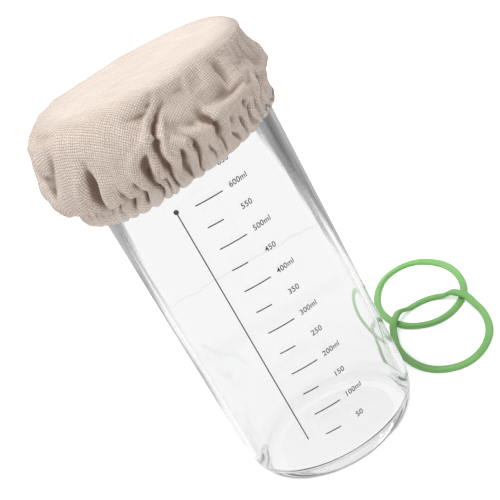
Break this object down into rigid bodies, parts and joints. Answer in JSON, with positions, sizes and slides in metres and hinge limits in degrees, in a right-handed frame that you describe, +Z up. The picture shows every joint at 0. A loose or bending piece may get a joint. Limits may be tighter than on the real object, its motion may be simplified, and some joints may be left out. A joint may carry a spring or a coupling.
{
  "type": "sourdough starter jar",
  "caption": "Straight-walled glass starter jar with a fired-on millilitre scale, a gathered linen cover with an elastic hem, and loose flat rubber marker bands.",
  "frame": {"origin": "centre of the jar's base, on the surface it stands on", "axes": "+Z up along the jar's axis; the scale faces -Y; the loose bands lie at +X and +Y"},
  "size_m": [0.1532, 0.1791, 0.1918],
  "materials": {
    "clear_glass": "clear, polished",
    "grey_enamel": "thin fired enamel, satin",
    "linen": "natural plain-weave linen, unbleached",
    "elastic": "woven elastic, matte",
    "green_rubber": "satin"
  },
  "bodies": {
    "jar": {"glass_jar": "clear_glass", "fill_line": "grey_enamel", "long_marks": "grey_enamel", "short_marks": "grey_enamel"},
    "cover": {"cover_cloth": "linen", "hem_facing": "linen", "hem_elastic": "elastic"},
    "lower_band": {"marker_band_lower": "green_rubber"},
    "upper_band": {"marker_band_upper": "green_rubber"}
  },
  "joints": [
    {"name": "cover_lift", "type": "slide", "parent": "jar", "child": "cover", "axis": [0, 0, 1], "range_m": [0, 0.08]},
    {"name": "lower_band_lift", "type": "slide", "parent": "jar", "child": "lower_band", "axis": [0, 0, 1], "range_m": [0, 0.06]},
    {"name": "upper_band_lift", "type": "slide", "parent": "lower_band", "child": "upper_band", "axis": [0, 0, 1], "range_m": [0, 0.06]}
  ]
}
